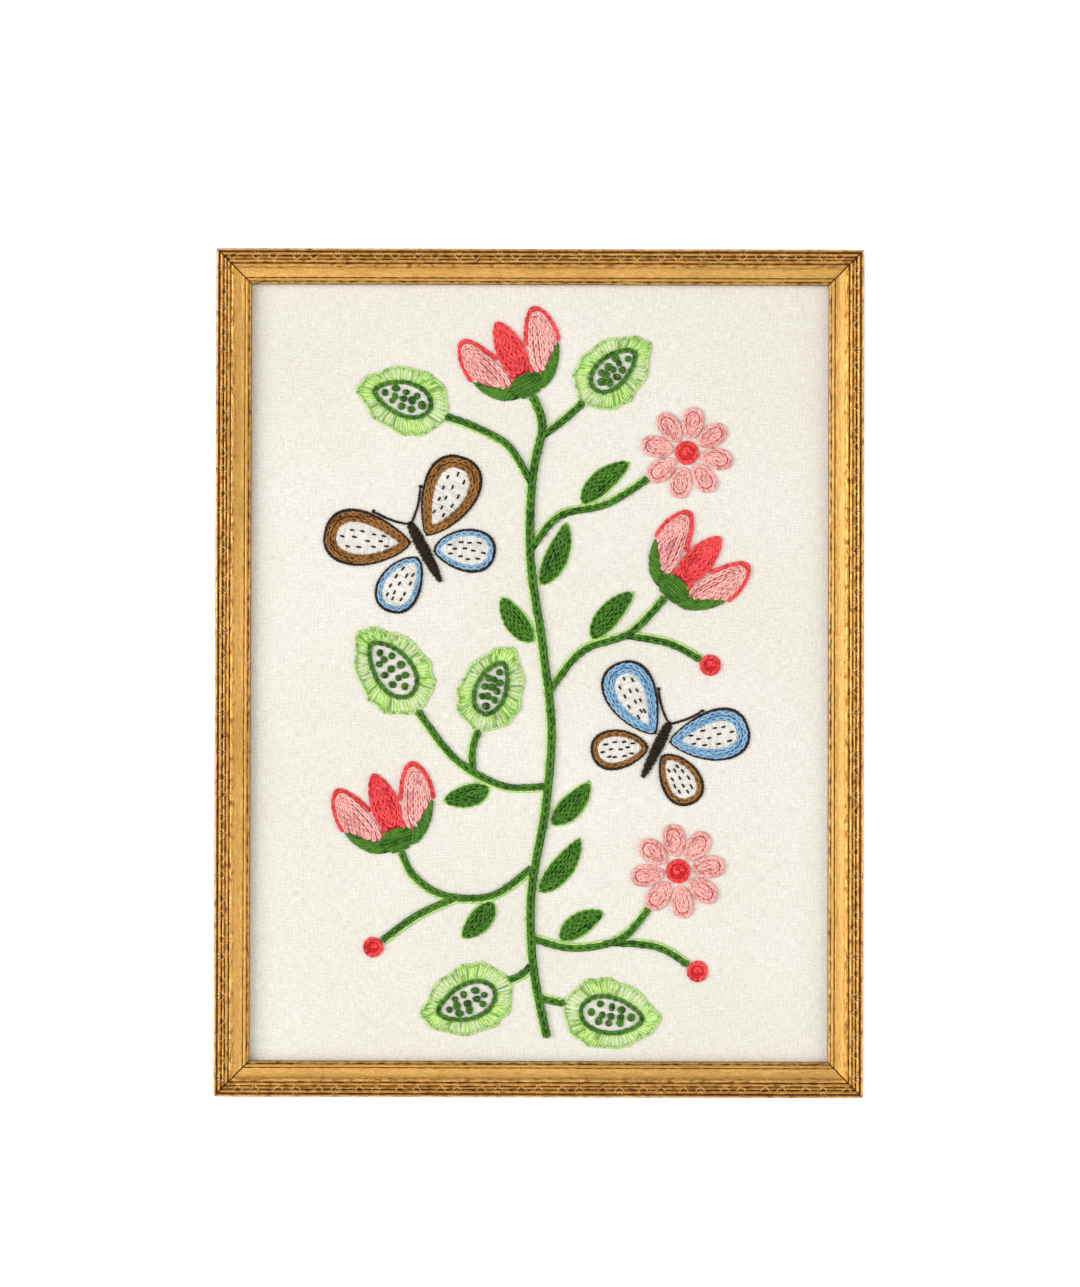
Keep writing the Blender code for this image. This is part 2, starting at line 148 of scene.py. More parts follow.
# The yarn: how thick it lies, and how far one turn of its two plies is
YARN = 0.00062
PLY_TURN = 0.0030
STRAND_SIDES = 6
FIBRE = 0.00004
FUZZ_SHARE = 0.9


def smooth_route(points, step=STEM_STEP):
    """Points on the smooth curve through the given ones, at most a step apart."""
    route = []
    ends = [points[0], *points, points[-1]]
    for before, start, end, after in zip(ends, ends[1:], ends[2:], ends[3:]):
        count = ceil(hypot(end[0] - start[0], end[1] - start[1]) / step)
        for index in range(count):
            t = index / count
            route.append(tuple(
                b + 0.5 * t * (c - a + t * (2 * a - 5 * b + 4 * c - d + t * (3 * (b - c) + d - a)))
                for a, b, c, d in zip(before, start, end, after)
            ))
    return [*route, tuple(points[-1])]


def heading_at(route, index):
    x0, y0 = route[max(index - 1, 0)]
    x1, y1 = route[min(index + 1, len(route) - 1)]
    return atan2(y1 - y0, x1 - x0)


def beside(route, offset):
    line = []
    for index, (x, y) in enumerate(route):
        across = heading_at(route, index) + pi / 2
        line.append((x + offset * cos(across), y + offset * sin(across)))
    return line


def lobe_point(lobe, share, offset=0.0):
    """The point at a share of the lobe's bent middle line, or to its left by the offset."""
    start = radians(lobe.heading - lobe.bend / 2)
    half_turn = radians(lobe.bend) * share / 2
    chord = lobe.length * share * (sin(half_turn) / half_turn if half_turn else 1.0)
    across = start + 2 * half_turn + pi / 2
    x = lobe.x + chord * cos(start + half_turn) + offset * cos(across)
    y = lobe.y + chord * sin(start + half_turn) + offset * sin(across)
    return x, y


def half_width(lobe, share):
    peak = lobe.base / (lobe.base + lobe.tip)
    largest = peak ** lobe.base * (1 - peak) ** lobe.tip
    return lobe.width / 2 * share ** lobe.base * (1 - share) ** lobe.tip / largest


def resized(lobe, margin):
    """The lobe with a margin added all round, or taken off where it is negative."""
    start = radians(lobe.heading - lobe.bend / 2)
    return lobe._replace(
        x=lobe.x - margin * cos(start),
        y=lobe.y - margin * sin(start),
        length=lobe.length + 2 * margin,
        width=lobe.width + 2 * margin,
    )


def placed(lobe, spot, side=1):
    """A motif's own lobe in the picture, on its left side or, with side -1, on its right."""
    turn = radians(spot.heading)
    along, across = spot.size * lobe.x, spot.size * side * lobe.y
    return lobe._replace(
        x=spot.x + along * cos(turn) - across * sin(turn),
        y=spot.y + along * sin(turn) + across * cos(turn),
        heading=spot.heading + side * lobe.heading,
        length=spot.size * lobe.length,
        width=spot.size * lobe.width,
        bend=side * lobe.bend,
    )


def tips_of(kind, clear=0.0):
    """Where the motifs of one kind stand: just past the ends of their stems."""
    spots = []
    for sprig in SPRIGS:
        if sprig.tip == kind:
            route = smooth_route(sprig.route)
            turn = heading_at(route, len(route) - 1)
            ahead = GAP + clear * sprig.size
            x, y = route[-1]
            x, y = x + ahead * cos(turn), y + ahead * sin(turn)
            spots.append(Spot(x, y, degrees(turn), sprig.size))
    return spots


def outline_of(lobe, depth=0.0, step=0.0008):
    """The lobe's edge, or a line inside it, as a closed line of points from its base."""
    inside = resized(lobe, -depth)
    count = max(8, ceil(inside.length / step))
    left, right = [], []
    for index in range(count + 1):
        share = (1 - cos(pi * index / count)) / 2
        half = half_width(inside, share)
        left.append(lobe_point(inside, share, half))
        right.append(lobe_point(inside, share, -half))
    return left + right[-2:0:-1]


def covers(lobe, x, y, margin=0.0):
    """Whether a point lies in the lobe, or within a margin of it."""
    best, where = 1.0, 0.0
    for index in range(25):
        px, py = lobe_point(lobe, index / 24)
        away = hypot(x - px, y - py)
        if away < best:
            best, where = away, index / 24
    return best < half_width(lobe, where) + margin


def walk(route, spacing, closed=False):
    """Points evenly spaced along a line, near the wanted spacing, and each one's heading."""
    line = [*route, route[0]] if closed else route
    lengths = [hypot(b[0] - a[0], b[1] - a[1]) for a, b in zip(line, line[1:])]
    total = sum(lengths)
    count = max(1, round(total / spacing))
    spots, leg, gone = [], 0, 0.0
    for index in range(count + 1):
        target = total * index / count
        while leg < len(lengths) - 1 and gone + lengths[leg] < target:
            gone += lengths[leg]
            leg += 1
        share = (target - gone) / lengths[leg] if lengths[leg] else 0.0
        (x0, y0), (x1, y1) = line[leg], line[leg + 1]
        spots.append((x0 + share * (x1 - x0), y0 + share * (y1 - y0), atan2(y1 - y0, x1 - x0)))
    return spots


class Stitches:
    """The strands of one colour in one motif, which become one mesh of yarn."""

    def __init__(self, name, wool, replaced=()):
        self.name = name
        self.wool = wool
        self.replaced = replaced
        self.strands = []
        self.shade_beds = []
        self.dice = Random(name)

    def lay(self, points, thick=YARN, closed=False, shade=0.0):
        """One strand through (x, y, height over the linen) points, and now and then a loose fibre."""
        tone = self.dice.gauss(shade, 1.0)
        radii = [thick * (1 + self.jitter(0.09)) for _ in points]
        if not closed:
            radii[0] = radii[-1] = 0.75 * thick
        self.strands.append((points, radii, closed, tone))
        if self.dice.random() < FUZZ_SHARE:
            self.lay_fibre(self.dice.choice(points[1:-1]), thick)

    def lay_fibre(self, root, thick):
        """One fine fibre that curls out of the yarn and down towards the cloth."""
        x, y, z = root
        heading, curl = self.jitter(pi), self.jitter(0.7)
        stride = self.dice.uniform(0.00030, 0.00080)
        z += 0.6 * thick
        fibre = [(x, y, z)]
        for fall in (-0.1, 0.15, 0.5):
            x, y = x + stride * cos(heading), y + stride * sin(heading)
            z = max(FIBRE, z - fall * thick)
            heading += curl
            fibre.append((x, y, z))
        self.strands.append((fibre, [FIBRE] * 4, False, 1.5))

    def lay_shade_bed(self, outline, height=0.00045, tone=-9.0):
        """A low bed of the same wool inside an outline, so that no cloth shows between strands; its dark tone
        is painted shade between the strands.
        """
        self.shade_beds.append((outline, height, tone))

    def jitter(self, size):
        return self.dice.uniform(-size, size)


def link_shape(width, thick):
    """One loop of chain stitch as (along, across, height), from its root round its far end."""
    half = width / 2 - thick
    rows = (
        (-0.10, 0.10, 1.20), (0.06, 0.34, 1.95), (0.28, 0.76, 1.65), (0.55, 1.00, 1.30),
        (0.80, 0.90, 1.10), (0.96, 0.52, 1.00),
    )
    left = [(along, across * half, height * thick) for along, across, height in rows]
    tip = [(1.05, 0.0, 0.95 * thick)]
    right = [(along, -across, height) for along, across, height in reversed(left)]
    return left + tip + right


def chain_row(stitches, route, width=0.0026, length=0.0036, thick=YARN, closed=False, hidden=None):
    """A row of chain stitch along a line, each loop rooted in the one before."""
    spots = walk(route, length, closed)
    shape = link_shape(width, thick)
    for (x0, y0, _), (x1, y1, _) in zip(spots, spots[1:]):
        if hidden and hidden((x0 + x1) / 2, (y0 + y1) / 2):
            continue
        reach, turn = hypot(x1 - x0, y1 - y0), atan2(y1 - y0, x1 - x0)
        turn += stitches.jitter(0.05)
        fat = 1 + stitches.jitter(0.10)
        lift = stitches.jitter(0.00012)
        points = []
        for along, across, height in shape:
            u, v = along * reach, across * fat + stitches.jitter(0.00008)
            x, y = x0 + u * cos(turn) - v * sin(turn), y0 + u * sin(turn) + v * cos(turn)
            points.append((x, y, height + lift))
        stitches.lay(points, thick)


def stem_row(stitches, route, length=0.0040, thick=YARN, slant=0.7, closed=False, hidden=None):
    """A row of stem stitch: short slanted strands that lie half over each other like a rope."""
    spots = walk(route, length / 2, closed)
    shape = ((0, -1, 0.4), (0.2, -0.9, 1.1), (0.5, 0, 1.5), (0.8, 0.9, 1.2), (1, 1, 0.4))
    after = spots[2:] + (spots[1:2] if closed else [])
    for (x0, y0, turn), (x1, y1, _) in zip(spots, after):
        if hidden and hidden((x0 + x1) / 2, (y0 + y1) / 2):
            continue
        off = slant * thick * (1 + stitches.jitter(0.3))
        points = []
        for share, side, height in shape:
            x = x0 + share * (x1 - x0) - side * off * sin(turn)
            y = y0 + share * (y1 - y0) + side * off * cos(turn)
            points.append((x, y, height * thick))
        stitches.lay(points, thick)


def satin(stitches, lobe, spacing=0.00122, slant=25, thick=0.00060, crown=0.0004, hidden=None):
    """Close parallel strands from edge to edge of a lobe, laid at a slant to its middle line."""
    count = ceil(lobe.length / spacing)
    lean = 2 * sin(radians(slant)) / lobe.length
    for index in range(1, count):
        share = (index + stitches.jitter(0.15)) / count
        half = half_width(lobe, share)
        lift = stitches.jitter(0.00010)
        points = []
        for step in range(-3, 4):
            side = step / 3
            place = min(max(share + side * half * lean, 0.01), 0.99)
            wide = min(half, half_width(lobe, place)) + stitches.jitter(0.00025)
            x, y = lobe_point(lobe, place, side * wide)
            if hidden and hidden(x, y):
                continue
            points.append((x, y, thick * 0.9 + crown * (1 - side * side) + lift))
        if len(points) > 2:
            stitches.lay(points, thick)


def blanket(stitches, lobe, depth, spacing=0.0017, thick=0.00056):
    """Blanket stitch round a lobe: spokes, here close and there open, joined along the edge."""
    fine = 0.0004
    outer = walk(outline_of(lobe, thick), fine, closed=True)
    inner = walk(outline_of(lobe, depth), fine, closed=True)
    count = round((len(outer) - 1) * fine / spacing)
    spokes = []
    for index in range(count + 1):
        share = index / count
        bay = 0.0006 * cos(18 * pi * share) + stitches.jitter(0.0002)
        share += 0.42 * sin(6 * pi * share) / (6 * pi) + stitches.jitter(0.12 / count)
        share = min(max(share, 0.0), 1.0)
        x0, y0, turn = outer[round(share * (len(outer) - 1))]
        x2, y2, _ = inner[round(share * (len(inner) - 1))]
        spokes.append((x0 - bay * sin(turn), y0 + bay * cos(turn), x2, y2, turn))
    spokes[-1] = spokes[0]
    for (x0, y0, x2, y2, turn), (x1, y1, *_) in zip(spokes, spokes[1:]):
        x2, y2 = x2 + stitches.jitter(0.0003), y2 + stitches.jitter(0.0003)
        fat = thick * (1 + stitches.jitter(0.12))
        points = []
        for share, height in ((0.0, 0.0), (0.12, 0.1), (0.5, 0.2), (0.88, 0.3), (1.0, 0.9)):
            wander = stitches.jitter(0.00012)
            x, y = x2 + share * (x0 - x2) + wander, y2 + share * (y0 - y2) - wander
            points.append((x, y, height * fat))
        stitches.lay(points, fat, shade=1.0)
        cord = []
        for share, height in ((-0.15, 0.4), (0.15, 1.1), (0.6, 1.2), (1.1, 0.6)):
            cord.append((x0 + share * (x1 - x0), y0 + share * (y1 - y0), height * thick))
        stitches.lay(cord, 0.95 * thick, shade=-0.9)
        # Painted shadow: a tiny strand, far darker than its wool, stands for the shadowed hole where each
        # loop crosses the cord.
        x, y = x0 + 1.7 * thick * (x2 - x0) / depth, y0 + 1.7 * thick * (y2 - y0) / depth
        u, v = 0.0005 * cos(turn), 0.0005 * sin(turn)
        joint_shadow = [(x - u, y - v, 0.5 * thick), (x, y, 1.6 * thick), (x + u, y + v, 0.5 * thick)]
        stitches.lay(joint_shadow, 0.00028, shade=-6.0)


def knot(stitches, x, y, radius=0.00150, thick=0.00072):
    """A knot of yarn wound round on itself."""
    start = stitches.jitter(pi)
    radius *= 1 + stitches.jitter(0.22)
    long = 1 + stitches.jitter(0.18)
    points = []
    for step in range(17):
        share = step / 16
        around = start + 4 * pi * share
        reach = radius * (1 - 0.55 * share) * (1 + stitches.jitter(0.08))
        across, along = reach * cos(around) / long, reach * sin(around) * long
        points.append((x + across, y + along, thick * (0.7 + 0.8 * share)))
    points.append((x, y, thick * 1.4))
    stitches.lay(points, thick, shade=-1.2)


def spiral(stitches, x, y, radius, width=0.0025, length=0.0030):
    """A round motif of chain stitch: a ring at its edge and a coil wound in from there."""
    ring, coil = [], []
    for step in range(60):
        around = 2 * pi * step / 60
        reach = radius - width / 2
        ring.append((x + reach * cos(around), y + reach * sin(around)))
    chain_row(stitches, ring, width, length, closed=True)
    reach = radius - 1.45 * width
    turns = reach / width
    steps = max(12, ceil(40 * turns))
    for step in range(steps + 1):
        share = step / steps
        around = 2 * pi * turns * share
        coil.append((x + reach * (1 - share) * cos(around), y + reach * (1 - share) * sin(around)))
    chain_row(stitches, coil, width, 0.8 * length)
    stitches.lay_shade_bed(ring, 0.0009, -1.5)


def seed(stitches, lobe, share, across, long=0.0026, thick=0.00052):
    """One short stitch lying along a lobe, on top of its wool."""
    share, across = share + stitches.jitter(0.035), across + stitches.jitter(0.10)
    points = []
    for step, height in ((-0.5, 0.0005), (-0.25, 0.0013), (0.25, 0.0013), (0.5, 0.0005)):
        place = share + step * long / lobe.length
        x, y = lobe_point(lobe, place, across * half_width(lobe, share))
        points.append((x + stitches.jitter(0.0001), y + stitches.jitter(0.0001), height))
    stitches.lay(points, thick)


def fill(stitches, lobe, width=0.0027, start=0.0, rings=None, hidden=None, length=0.0038):
    """Rows of chain stitch that follow a lobe's edge inwards, as many as asked or until it is full."""
    core = 0
    if rings is None:
        room = lobe.width / 2 - start
        halves = max(2, round(2 * room / width))
        width = 2 * room / halves
        rings, core = divmod(halves, 2)
    for ring in range(rings):
        route = outline_of(lobe, start + (ring + 0.5) * width)
        chain_row(stitches, route, width * 1.04, length, closed=True, hidden=hidden)
    if core:
        middle = resized(lobe, -start - rings * width)
        route = [lobe_point(middle, 0.02 + 0.96 * k / 12) for k in range(13)]
        chain_row(stitches, route, width * 1.04, length, hidden=hidden)
    stitches.lay_shade_bed(outline_of(lobe, start + 0.0005, 0.0016))


def node(tree, kind, feeds=None, **settings):
    """A shader node with its settings, its inputs set to values or linked from sockets."""
    made = tree.nodes.new("ShaderNode" + kind)
    for key, value in settings.items():
        setattr(made, key, value)
    for key, value in (feeds or {}).items():
        if isinstance(value, bpy.types.NodeSocket):
            tree.links.new(value, made.inputs[key])
        else:
            made.inputs[key].default_value = value
    return made


def math_node(tree, operation, *feeds):
    made = node(tree, "Math", dict(enumerate(feeds)), operation=operation)
    return made.outputs[0]


def between(tree, value, low, high, to_low=0.0, to_high=1.0):
    """The value carried from one range to another and kept inside it."""
    feeds = {0: value, 1: low, 2: high, 3: to_low, 4: to_high}
    return node(tree, "MapRange", feeds).outputs[0]


def blend_colours(tree, share, first, second, mode="MIX"):
    feeds = {0: share, 6: first, 7: second}
    return node(tree, "Mix", feeds, data_type="RGBA", blend_type=mode).outputs[2]


def grain(tree, where, scale, detail=2.0, stretch=None):
    """Noise from 0 to 1 at a place, stretched by the scale of each axis."""
    if stretch:
        where = node(tree, "Mapping", {0: where, 3: stretch}).outputs[0]
    return node(tree, "TexNoise", {0: where, 2: scale, 3: detail}).outputs[0]


def new_group(name, feeds, results):
    """A node group with named inputs and outputs, and the nodes at its two ends."""
    group = bpy.data.node_groups.new(name, "ShaderNodeTree")
    for key, (kind, value) in feeds.items():
        made = group.interface.new_socket(key, in_out="INPUT", socket_type="NodeSocket" + kind)
        made.default_value = value
    for key, kind in results.items():
        group.interface.new_socket(key, in_out="OUTPUT", socket_type="NodeSocket" + kind)
    start = group.nodes.new("NodeGroupInput")
    end = group.nodes.new("NodeGroupOutput")
    return group, start.outputs, end.inputs


def new_material(name):
    material = bpy.data.materials.new(name)
    material.use_nodes = True
    tree = material.node_tree
    return material, tree, tree.nodes["Principled BSDF"]


def yarn_group():
    """Two twisted plies with loose fibres, from the strand's own UV and its tone; the colour is painted
    darker in the grooves between the plies as painted shade.
    """
    group, feeds, results = new_group(
        "twisted_yarn",
        {"Light": ("Color", (1, 1, 1, 1)), "Dark": ("Color", (0, 0, 0, 1))},
        {"Color": "Color", "Height": "Float"},
    )
    uv = node(group, "SeparateXYZ", {0: node(group, "UVMap", uv_map="UVMap").outputs[0]})
    place = node(group, "TexCoord").outputs["Object"]
    turn = math_node(group, "MULTIPLY", uv.outputs[0], 2.0)
    turn = math_node(group, "ADD", turn, uv.outputs[1])
    ply_height_and_shade = math_node(group, "ABSOLUTE", math_node(group, "SINE", math_node(group, "MULTIPLY", turn, pi)))
    fibres = grain(group, place, 3200.0, 3.0)
    heather = grain(group, place, 950.0, 2.0)
    dye = grain(group, place, 70.0, 1.0)
    tone = node(group, "Attribute", attribute_name="tone").outputs["Fac"]
    # Painted shade: the colour darkens in the grooves of the twist and lightens on the plies' crests.
    share = math_node(group, "MULTIPLY_ADD", ply_height_and_shade, 0.55, 0.06)
    share = math_node(group, "MULTIPLY_ADD", tone, 0.15, share)
    share = math_node(group, "MULTIPLY_ADD", between(group, heather, 0.32, 0.68), 0.42, share)
    share = math_node(group, "MULTIPLY_ADD", between(group, dye, 0.3, 0.7, -0.5, 0.5), 0.22, share)
    share = between(group, share, 0.0, 1.0)
    group.links.new(blend_colours(group, share, feeds["Dark"], feeds["Light"]), results["Color"])
    height = math_node(group, "MULTIPLY_ADD", fibres, 0.45, ply_height_and_shade)
    group.links.new(height, results["Height"])
    return group


YARN_GROUP = yarn_group()


def wool_material(name, light, dark, sheen):
    material, tree, shader = new_material(name)
    yarn = node(tree, "Group", node_tree=YARN_GROUP)
    yarn.inputs["Light"].default_value = (*light, 1)
    yarn.inputs["Dark"].default_value = (*dark, 1)
    tree.links.new(yarn.outputs["Color"], shader.inputs["Base Color"])
    bump = node(tree, "Bump", {"Strength": 0.7, "Distance": 0.00022, "Height": yarn.outputs["Height"]})
    tree.links.new(bump.outputs[0], shader.inputs["Normal"])
    shader.inputs["Roughness"].default_value = 0.88
    shader.inputs["Specular IOR Level"].default_value = 0.25
    shader.inputs["Sheen Weight"].default_value = sheen
    shader.inputs["Sheen Roughness"].default_value = 0.5
    shader.inputs["Sheen Tint"].default_value = (*light, 1)
    return material


# Light and dark ends of each wool's colour: strands blend between them by random tone, and the dark end also
# gives the painted shade in the twist's grooves and in the beds under the strands.
Wool = namedtuple("Wool", "slot material")
WOOLS = {
    name: Wool(slot, wool_material("yarn_" + name, light, dark, sheen))
    for name, slot, light, dark, sheen in (
        ("green", "wool_green", (0.094, 0.262, 0.026), (0.008, 0.045, 0.004), 0.08),
        ("lime", "wool_lime", (0.590, 0.830, 0.270), (0.210, 0.410, 0.070), 0.08),
        ("coral", "wool_coral", (1.000, 0.110, 0.115), (0.480, 0.008, 0.012), 0.05),
        ("pink", "wool_pink", (1.000, 0.560, 0.510), (0.560, 0.160, 0.150), 0.08),
        ("blue", "wool_blue", (0.340, 0.560, 0.740), (0.065, 0.190, 0.360), 0.08),
        ("brown", "wool_brown", (0.410, 0.190, 0.052), (0.066, 0.023, 0.003), 0.07),
        ("black", "wool_black", (0.036, 0.022, 0.011), (0.004, 0.002, 0.001), 0.03),
        ("white", "linen", (0.860, 0.835, 0.780), (0.600, 0.570, 0.510), 0.08),
    )
}


def yarn_mesh(stitches):
    """One mesh of round strands, with each strand's twist in its UV and its own tone."""
    curve = bpy.data.curves.new(stitches.name, "CURVE")
    curve.dimensions = "3D"
    curve.bevel_depth = 1.0
    curve.bevel_resolution = 1
    curve.use_fill_caps = True
    for points, radii, closed, _ in stitches.strands:
        spline = curve.splines.new("POLY")
        spline.points.add(len(points) - 1)
        coords = [c for x, y, z in points for c in (x, y, LINEN_FACE + z, 1.0)]
        spline.points.foreach_set("co", coords)
        spline.points.foreach_set("radius", radii)
        spline.use_cyclic_u = closed
        spline.use_smooth = True
    helper = bpy.data.objects.new(stitches.name, curve)
    bpy.context.scene.collection.objects.link(helper)
    evaluated = helper.evaluated_get(bpy.context.evaluated_depsgraph_get())
    mesh = bpy.data.meshes.new_from_object(evaluated)
    bpy.data.objects.remove(helper)
    bpy.data.curves.remove(curve)

    loops = np.empty(2 * len(mesh.loops), dtype=np.float32)
    mesh.uv_layers[0].data.foreach_get("uv", loops)
    uv = loops.reshape(-1, 2)
    tones = np.zeros(len(mesh.polygons), dtype=np.float32)
    first_loop, first_face = 0, 0
    for points, _, closed, tone in stitches.strands:
        spans = len(points) if closed else len(points) - 1
        caps = 0 if closed else 2 * (STRAND_SIDES - 2)
        faces = spans * STRAND_SIDES + caps
        corners = 4 * spans * STRAND_SIDES + 3 * caps
        length = sum((Vector(b) - Vector(a)).length for a, b in zip(points, points[1:]))
        uv[first_loop:first_loop + corners, 1] *= length / PLY_TURN
        uv[first_loop:first_loop + corners, 1] += tone
        tones[first_face:first_face + faces] = tone
        first_loop += corners
        first_face += faces
    assert first_loop == len(mesh.loops), (stitches.name, first_loop, len(mesh.loops))
    mesh.uv_layers[0].data.foreach_set("uv", uv.ravel())
    mesh.attributes.new("tone", "FLOAT", "FACE").data.foreach_set("value", tones)
    return mesh


def add_shade_beds(mesh, shade_beds):
    """Closed low beds added to the yarn's mesh, each as dark as its own tone says: painted shade under the
    strands.
    """
    bm = bmesh.new()
    bm.from_mesh(mesh)
    tone = bm.faces.layers.float["tone"]
    for outline, height, shade in shade_beds:
        base = bm.faces.new([bm.verts.new((x, y, LINEN_FACE - 0.0001)) for x, y in outline])
        before = set(bm.faces) - {base}
        grown = bmesh.ops.extrude_face_region(bm, geom=[base])["geom"]
        raised = [part for part in grown if isinstance(part, bmesh.types.BMVert)]
        bmesh.ops.translate(bm, vec=(0, 0, height + 0.0001), verts=raised)
        fresh = [face for face in bm.faces if face not in before]
        for face in fresh:
            face[tone] = shade
        bmesh.ops.recalc_face_normals(bm, faces=fresh)
        bm.normal_update()
        caps = [face for face in fresh if len(face.verts) > 4]
        bmesh.ops.triangulate(bm, faces=caps, ngon_method="EAR_CLIP")
    bm.to_mesh(mesh)
    bm.free()


def finish_stitches(stitches):
    wool = WOOLS[stitches.wool]
    piece = bpy.data.objects.new(stitches.name, yarn_mesh(stitches))
    if stitches.shade_beds:
        add_shade_beds(piece.data, stitches.shade_beds)
    bpy.context.scene.collection.objects.link(piece)
    piece.data.materials.append(wool.material)
    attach(piece, "root")
    if stitches.replaced:
        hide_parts(*stitches.replaced)
    return piece


def dress_stems():
    dark = Stitches("stem_wool", "green", ["stems"])
    light = Stitches("stem_light_wool", "lime")
    routes = [smooth_route(sprig.route, 0.002) for sprig in SPRIGS]

    def near(x, y, numbers, reach):
        return any(hypot(x - px, y - py) < reach for number in numbers for px, py in routes[number])

    for number, (sprig, route) in enumerate(zip(SPRIGS, routes)):
        main = number == 0
        earlier = range(number)
        others = [other for other in range(len(SPRIGS)) if other != number]
        width, thick = (0.0044, 0.00082) if main else (0.0037, 0.00074)
        side = -0.0004 if main else 0.0
        chain_row(
            dark, beside(route, side), width, 0.0046, thick,
            hidden=lambda x, y: near(x, y, earlier, 0.0019),
        )
        left, right = (beside(route, side + half) for half in (0.44 * width, -0.44 * width))
        # Painted shade: two low dark beds under the chain, the wider one darkest, stand for the shade between
        # its loops.
        dark.lay_shade_bed(left + right[::-1], 0.0006 - 0.00002 * number)
        left, right = (beside(route, side + half) for half in (0.22 * width, -0.22 * width))
        dark.lay_shade_bed(left + right[::-1], 0.0012 - 0.00002 * number, -0.8)
        edge = side + width / 2 + 0.0002
        stem_row(
            light, beside(route, edge), 0.0042, 0.00046,
            hidden=lambda x, y: near(x, y, others, 0.0024),
        )
    return [dark, light]


def dress_pods():
    made = []
    for number, spot in enumerate(tips_of("pod")):
        pod = placed(POD, spot, (-1) ** number)
        name = f"pod_{number + 1}"
        border = Stitches(f"{name}_border_wool", "lime", [f"{name}_border"])
        blanket(border, pod, POD_BORDER + 0.0006)
        inside = Stitches(f"{name}_outline_wool", "green", [f"{name}_outline"])
        line = outline_of(pod, POD_BORDER + GAP + POD_OUTLINE / 2)
        chain_row(inside, line, 0.0026, 0.0036, closed=True)
        bare = resized(pod, -POD_BORDER - POD_OUTLINE)
        for row in KNOT_ROWS:
            for index in range(row.count):
                share = row.first + (row.last - row.first) * index / (row.count - 1)
                x, y = lobe_point(bare, share, row.across * half_width(bare, share))
                knot(inside, x + inside.jitter(0.0007), y + inside.jitter(0.0007))
        made += [border, inside]
    return made


def dress_leaves():
    made = []
    for number, leaf in enumerate(LEAVES, 1):
        sprig = SPRIGS[leaf.sprig]
        route = smooth_route(sprig.route)
        index = round(leaf.share * (len(route) - 1))
        off = sprig.width / 2 + 3 * GAP
        x, y = beside(route, leaf.side * off)[index]
        heading = degrees(heading_at(route, index)) + leaf.side * leaf.turn
        bend = leaf.side * LEAF_BEND
        lobe = Lobe(x, y, heading + bend / 2, leaf.length, LEAF_WIDTH, bend, 0.7, 0.9)
        wool = Stitches(f"leaf_{number}_wool", "green", [f"leaf_{number}"])
        edge = Stitches(f"leaf_{number}_edge_wool", "lime")
        fill(wool, lobe, 0.0027, start=0.0005, length=0.0036)
        stem_row(edge, outline_of(lobe, 0.0003), 0.0040, 0.00034, closed=True)
        made += [wool, edge]
    return made


def dress_tulips():
    made = []
    for number, flower in enumerate(tips_of("tulip"), 1):
        name = f"tulip_{number}"
        cup, centre = placed(TULIP_CUP, flower), placed(TULIP_CENTRE, flower)
        sepals = [placed(TULIP_SEPAL, flower, side) for side in (1, -1)]
        pink = Stitches(f"{name}_pink_wool", "pink", [f"{name}_petal_left", f"{name}_petal_right"])
        coral = Stitches(f"{name}_coral_wool", "coral", [f"{name}_petal_centre"])
        green = Stitches(f"{name}_green_wool", "green", [f"{name}_calyx"])
        for side, sepal in zip((1, -1), sepals):
            petal = placed(TULIP_SIDE, flower, side)

            def behind(x, y, margin=0.0004):
                if covers(centre, x, y, 0.0004):
                    return True
                return covers(cup, x, y, margin) or covers(sepal, x, y, margin)

            row = outline_of(petal, 0.0012)
            chain_row(coral, row, 0.0024, 0.0036, closed=True, hidden=lambda x, y: behind(x, y, 0.0022))
            fill(pink, petal, start=0.0023, hidden=behind)
        fill(coral, centre, hidden=lambda x, y: covers(cup, x, y, 0.0004))
        satin(green, cup, slant=0, crown=0.0008)
        green.lay_shade_bed(outline_of(cup, 0.0006, 0.0016))
        for sepal in sepals:
            satin(green, sepal, slant=35, crown=0.0006, hidden=lambda x, y: covers(cup, x, y, -0.0006))
            green.lay_shade_bed(outline_of(sepal, 0.0005, 0.0016), 0.0006)
        made += [pink, coral, green]
    return made


def dress_daisies():
    made = []
    for number, daisy in enumerate(tips_of("daisy", DAISY_REACH), 1):
        name = f"daisy_{number}"
        pink = Stitches(f"{name}_pink_wool", "pink", [f"{name}_petals"])
        coral = Stitches(f"{name}_coral_wool", "coral", [f"{name}_eye"])
        for index in range(DAISY_PETALS):
            turned = daisy._replace(heading=daisy.heading + 360 * index / DAISY_PETALS)
            long = DAISY_REACH - DAISY_FOOT
            petal = placed(Lobe(DAISY_FOOT, 0, 0, long, 0.0118, 0, 0.60, 0.40), turned)
            fill(pink, petal, 0.0025, length=0.0034)
        spiral(coral, daisy.x, daisy.y, daisy.size * DAISY_EYE)
        made += [pink, coral]
    return made


def dress_berries():
    made = []
    for number, berry in enumerate(tips_of("berry", BERRY_RADIUS), 1):
        wool = Stitches(f"berry_{number}_wool", "coral", [f"berry_{number}"])
        spiral(wool, berry.x, berry.y, berry.size * BERRY_RADIUS)
        made.append(wool)
    return made


